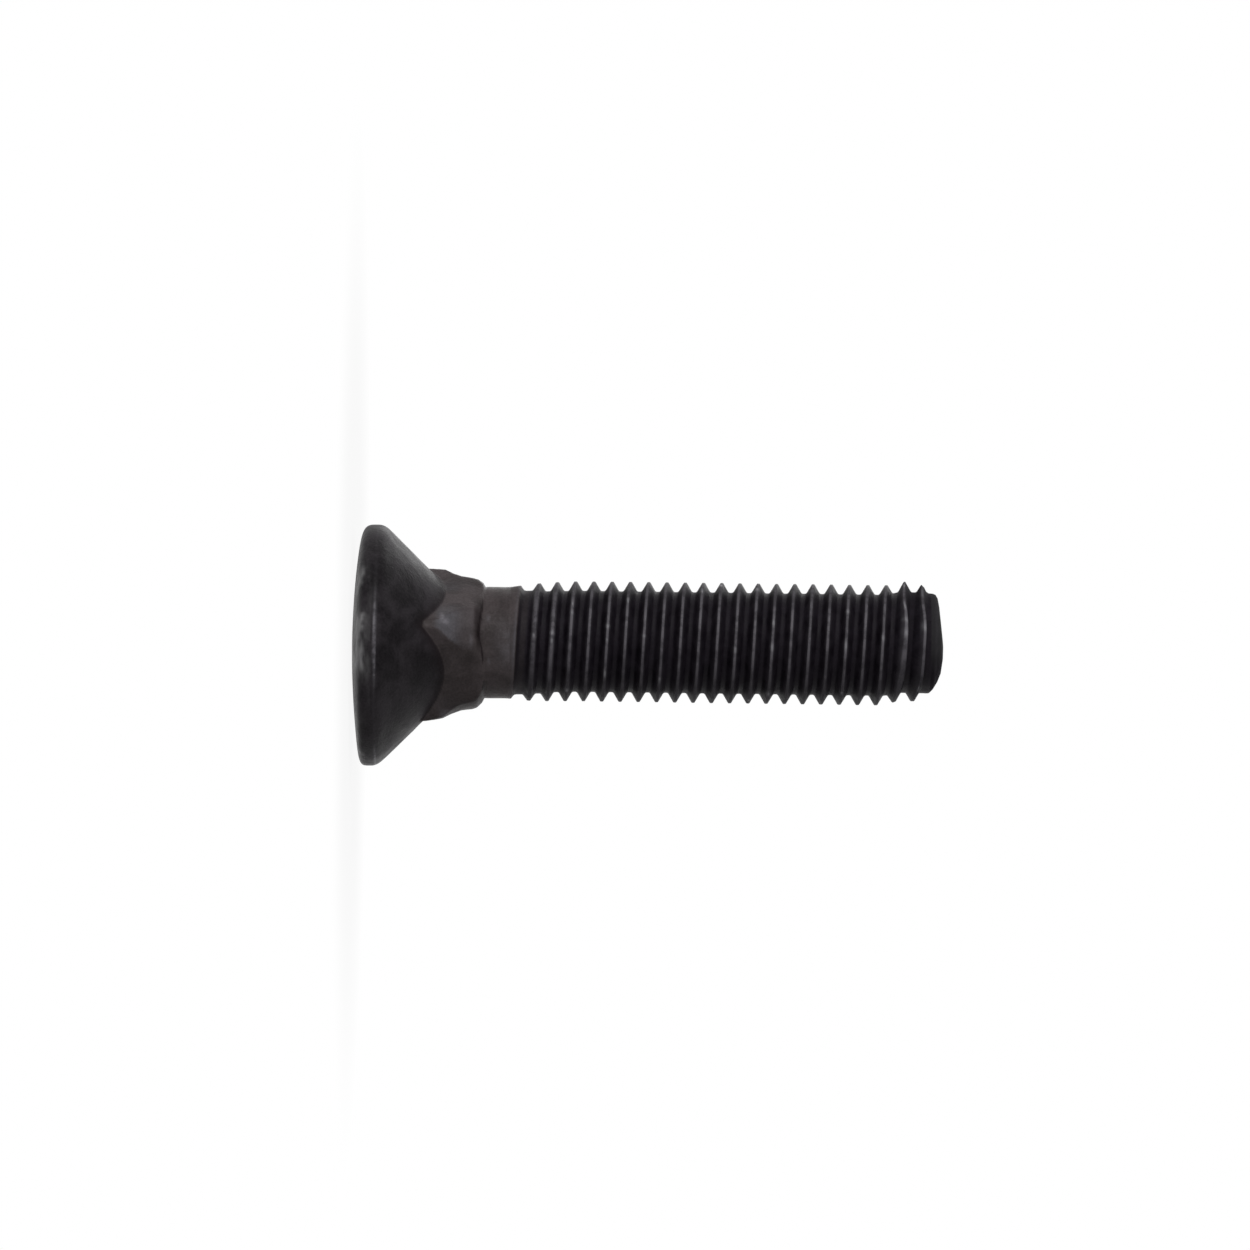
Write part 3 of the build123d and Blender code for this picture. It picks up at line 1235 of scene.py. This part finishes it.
def place_group(tree, group, values):
    """A group's node with its inputs set to numbers and colours or linked to sockets."""
    node = tree.nodes.new("ShaderNodeGroup")
    node.node_tree = group
    for socket, value in values.items():
        feed(tree, node.inputs[socket], value)
    return node.outputs


def new_steel(name, specular):
    material = bpy.data.materials.new(name)
    material.use_nodes = True
    shader = material.node_tree.nodes["Principled BSDF"]
    shader.inputs["Specular IOR Level"].default_value = specular
    return material, material.node_tree, shader


def add_bump(tree, shader, height, distance):
    bump = tree.nodes.new("ShaderNodeBump")
    bump.inputs["Strength"].default_value = 0.6
    bump.inputs["Distance"].default_value = distance
    tree.links.new(height, bump.inputs["Height"])
    tree.links.new(bump.outputs["Normal"], shader.inputs["Normal"])


print("values on the points", sorted(wear_and_painted_light))

# %% [markdown]
# ### Colours of the oxide
# The oxide took differently on the three parts: dark and mottled on the head, browner on
# the neck and the shank, and almost black in the thread, where oil stays. Each has a dark
# and a light colour. The neck and shank belong to the forged finish, but a little of their
# brown runs into the first root, so both materials mix it in by its stored share. One
# material for each part would need hard borders between faces.

# %% Oxide colours
HEAD_OXIDE = {
    "Dark": rgb(0.0055, 0.0045, 0.0055),
    "Light": rgb(0.033, 0.029, 0.033),
    "Patch Scale": 300.0,
    "Gloss": 0.33,
    "Dull": 0.50,
}
NECK_OXIDE = {
    "Dark": rgb(0.034, 0.028, 0.028),
    "Light": rgb(0.080, 0.067, 0.069),
    "Patch Scale": 300.0,
}
# Painted sheen: a paler, bluer oxide where the light falls on the neck's corners.
SHEEN_OXIDE = {
    "Dark": rgb(0.055, 0.054, 0.061),
    "Light": rgb(0.125, 0.123, 0.138),
    "Patch Scale": 260.0,
}
THREAD_OXIDE = {
    "Dark": rgb(0.0048, 0.0036, 0.0056),
    "Light": rgb(0.014, 0.0115, 0.0155),
    "Patch Scale": 700.0,
}
# Rubbed grey steel, which also paints the highlights on the crests, corners and edges.
FORGED_WEAR_AND_HIGHLIGHT = {"Bare": rgb(0.20, 0.19, 0.21), "Breakup Scale": 900.0, "Least": 0.4}
ROLLED_WEAR_AND_HIGHLIGHT = {"Bare": rgb(0.105, 0.098, 0.110), "Breakup Scale": 700.0, "Least": 0.5}
# Painted shade: near black, for the crease, the shoulder and the first groove.
PAINTED_SHADE = rgb(0.009, 0.006, 0.007)
NICK = rgb(0.21, 0.205, 0.22)


def oxide_colour(tree, values):
    """The part's own oxide, the neck's on the neck and shank, then painted sheen and shade."""
    own = place_group(tree, oxide_group, values)
    neck = place_group(tree, oxide_group, NECK_OXIDE)
    painted_sheen = place_group(tree, oxide_group, SHEEN_OXIDE)
    colour = add_mix(tree, read_point(tree, "necked"), own["Color"], neck["Color"])
    # Painted sheen on the neck's corners and beside a ridge.
    colour = add_mix(tree, read_point(tree, "painted_sheen"), colour, painted_sheen["Color"])
    # Painted shade darkens the crease, the shoulder and the first groove.
    return own, add_mix(tree, read_point(tree, "painted_shade"), colour, PAINTED_SHADE)


def finish_steel(tree, shader, colour, roughness, values):
    """Adds worn places, painted highlights and nicks, and feeds the shader's colour and
    roughness.
    """
    nicked = read_point(tree, "bare")
    amount = add_math(tree, "MAXIMUM", read_point(tree, "rub_and_highlight"), nicked)
    links = {"Color": colour, "Roughness": roughness, "Amount": amount}
    worn = place_group(tree, wear_highlight_group, values | links)
    tree.links.new(add_mix(tree, nicked, worn["Color"], NICK), shader.inputs["Base Color"])
    tree.links.new(worn["Roughness"], shader.inputs["Roughness"])


print("head from", HEAD_OXIDE["Dark"][:3], "to", HEAD_OXIDE["Light"][:3])

# %% [markdown]
# ### Forged steel
# The head came out of the forge with a skin that catches the light unevenly, so the oxide's
# patches also bump it a little. A real displacement would be lost below the size of the
# faces. The scuffs of the crown's edge lie over the oxide, and the rubbed places and painted
# highlights over both.

# %% Forged steel
FORGED_SPECULAR = 0.055
FORGED_BUMP = 0.00008
SCUFF = rgb(0.28, 0.275, 0.28)


def build_forged():
    material, tree, shader = new_steel("forged_black_steel", FORGED_SPECULAR)
    oxide, colour = oxide_colour(tree, HEAD_OXIDE)
    scuffs = place_group(tree, scuffs_group, {"Amount": read_point(tree, "scuffed")})
    colour = add_mix(tree, scuffs["Mask"], colour, SCUFF)
    finish_steel(tree, shader, colour, oxide["Roughness"], FORGED_WEAR_AND_HIGHLIGHT)
    add_bump(tree, shader, oxide["Height"], FORGED_BUMP)
    return material


forged_steel = build_forged()
print("material", forged_steel.name, "nodes", len(forged_steel.node_tree.nodes))

# %% [markdown]
# ### Rolled steel
# The dies pressed the thread smooth, so its bump is finer than the head's. The sheared end
# is grey under everything else, and its roughness goes up to the full 1, because a cut
# that still had some gloss would shine white from the side.

# %% Rolled steel
ROLLED_SPECULAR = 0.07
ROLLED_BUMP = 0.00003
SHEARED = rgb(0.026, 0.025, 0.027)
DULL_ROUGHNESS = 1.0


def build_rolled():
    material, tree, shader = new_steel("rolled_black_steel", ROLLED_SPECULAR)
    oxide, colour = oxide_colour(tree, THREAD_OXIDE)
    colour = add_mix(tree, read_point(tree, "sheared"), colour, SHEARED)
    dull = read_point(tree, "dull")
    roughness = add_range(tree, dull, 0.0, 1.0, oxide["Roughness"], DULL_ROUGHNESS)
    finish_steel(tree, shader, colour, roughness, ROLLED_WEAR_AND_HIGHLIGHT)
    add_bump(tree, shader, oxide["Height"], ROLLED_BUMP)
    return material


rolled_steel = build_rolled()
for material in (forged_steel, rolled_steel):
    bolt_skin.data.materials.append(material)
print("materials", [material.name for material in bolt_skin.data.materials])

# %% [markdown]
# ## The floor
# The bolt is shown on a plain white floor. A white paint alone turns grey under a soft
# light, and a lamp strong enough to make it white would wash out the bolt. So what the
# camera sees of the floor is mostly the floor's own white. Near the bolt a part of its real
# shading is kept, so that the bolt's shadow stays on it.

# %% Floor
FLOOR_HALF = 15.0
FLOOR_PAINT = rgb(0.86, 0.86, 0.86)
NEAR_GLOW = 0.9  # share of its own white that the floor shows beside the bolt
SHADOW_START, SHADOW_REACH = 0.02, 0.06  # the rest fades between these distances


def seen_directly(tree):
    """1 for what the camera sees itself, in a reflection or through glass."""
    path = tree.nodes.new("ShaderNodeLightPath")
    seen = add_math(tree, "MAXIMUM", path.outputs["Is Camera Ray"], path.outputs["Is Glossy Ray"])
    return add_math(tree, "MAXIMUM", seen, path.outputs["Is Transmission Ray"])


def build_floor_paint():
    material = bpy.data.materials.new("white_floor")
    material.use_nodes = True
    tree = material.node_tree
    shader = tree.nodes["Principled BSDF"]
    shader.inputs["Base Color"].default_value = FLOOR_PAINT
    shader.inputs["Roughness"].default_value = 0.9
    where = tree.nodes.new("ShaderNodeTexCoord")
    away = tree.nodes.new("ShaderNodeVectorMath")
    away.operation = "LENGTH"
    tree.links.new(where.outputs["Object"], away.inputs[0])
    distance = away.outputs["Value"]
    share = add_range(tree, distance, SHADOW_START, SHADOW_REACH, NEAR_GLOW, 1.0)
    glow = tree.nodes.new("ShaderNodeEmission")
    mix = tree.nodes.new("ShaderNodeMixShader")
    feed(tree, mix.inputs["Fac"], add_math(tree, "MULTIPLY", seen_directly(tree), share))
    tree.links.new(shader.outputs["BSDF"], mix.inputs[1])
    tree.links.new(glow.outputs["Emission"], mix.inputs[2])
    tree.links.new(mix.outputs["Shader"], tree.nodes["Material Output"].inputs["Surface"])
    return material


def add_floor():
    mesh = bpy.data.meshes.new("floor")
    corners = [(-1, -1), (1, -1), (1, 1), (-1, 1)]
    points = [(FLOOR_HALF * x, FLOOR_HALF * y, 0.0) for x, y in corners]
    mesh.from_pydata(points, [], [(0, 1, 2, 3)])
    mesh.materials.append(build_floor_paint())
    floor = bpy.data.objects.new("floor", mesh)
    bpy.context.scene.collection.objects.link(floor)
    return floor


floor = add_floor()
print("floor", 2 * FLOOR_HALF, "m across")

# %% [markdown]
# ## The sky
# Dark glossy steel is mostly seen by what it reflects. The room round the bolt is white, so
# reflections and the camera see a white sky, while the light that the sky gives is dim. A
# bright sky all round would light the grooves from within and flatten the thread.

# %% Sky
SKY_LEVEL = 0.2


def add_sky():
    world = bpy.data.worlds.new("white_sky")
    world.use_nodes = True
    tree = world.node_tree
    background = tree.nodes["Background"]
    background.inputs["Color"].default_value = rgb(1.0, 1.0, 1.0)
    level = add_range(tree, seen_directly(tree), 0.0, 1.0, SKY_LEVEL, 1.0)
    tree.links.new(level, background.inputs["Strength"])
    bpy.context.scene.world = world


add_sky()
print("sky level", SKY_LEVEL)

# %% [markdown]
# ## Soft boxes
# One soft box stands above the camera's side of the bolt and shapes the head and the
# crests, and a weaker one behind keeps the far side from going black. Small lamps or a sun
# would draw hard white lines on the crests, and wide lamps draw soft ones.

# %% Soft boxes
def add_soft_box(name, turn, height, distance, size, power):
    """A square lamp at that turn from the camera, in degrees, that faces the bolt."""
    data = bpy.data.lights.new(name, "AREA")
    data.shape = "SQUARE"
    data.size = size
    data.energy = power
    lamp = bpy.data.objects.new(name, data)
    bpy.context.scene.collection.objects.link(lamp)
    target = Vector((0.0, 0.0, length * MM / 2))
    lamp.location = distance * outward(VIEW_ANGLE - math.radians(turn)) + Vector((0, 0, height))
    aim = target - lamp.location
    lamp.rotation_euler = aim.to_track_quat("-Z", "Y").to_euler()


add_soft_box("key_box", turn=42.0, height=0.2, distance=0.9, size=0.5, power=5.8)
add_soft_box("fill_box", turn=155.0, height=0.4, distance=1.0, size=0.8, power=2.2)

# %% [markdown]
# ## Finish
# The view is left plain, so that colours look as they were written.

# %% Finish
bpy.context.scene.view_settings.view_transform = "Standard"
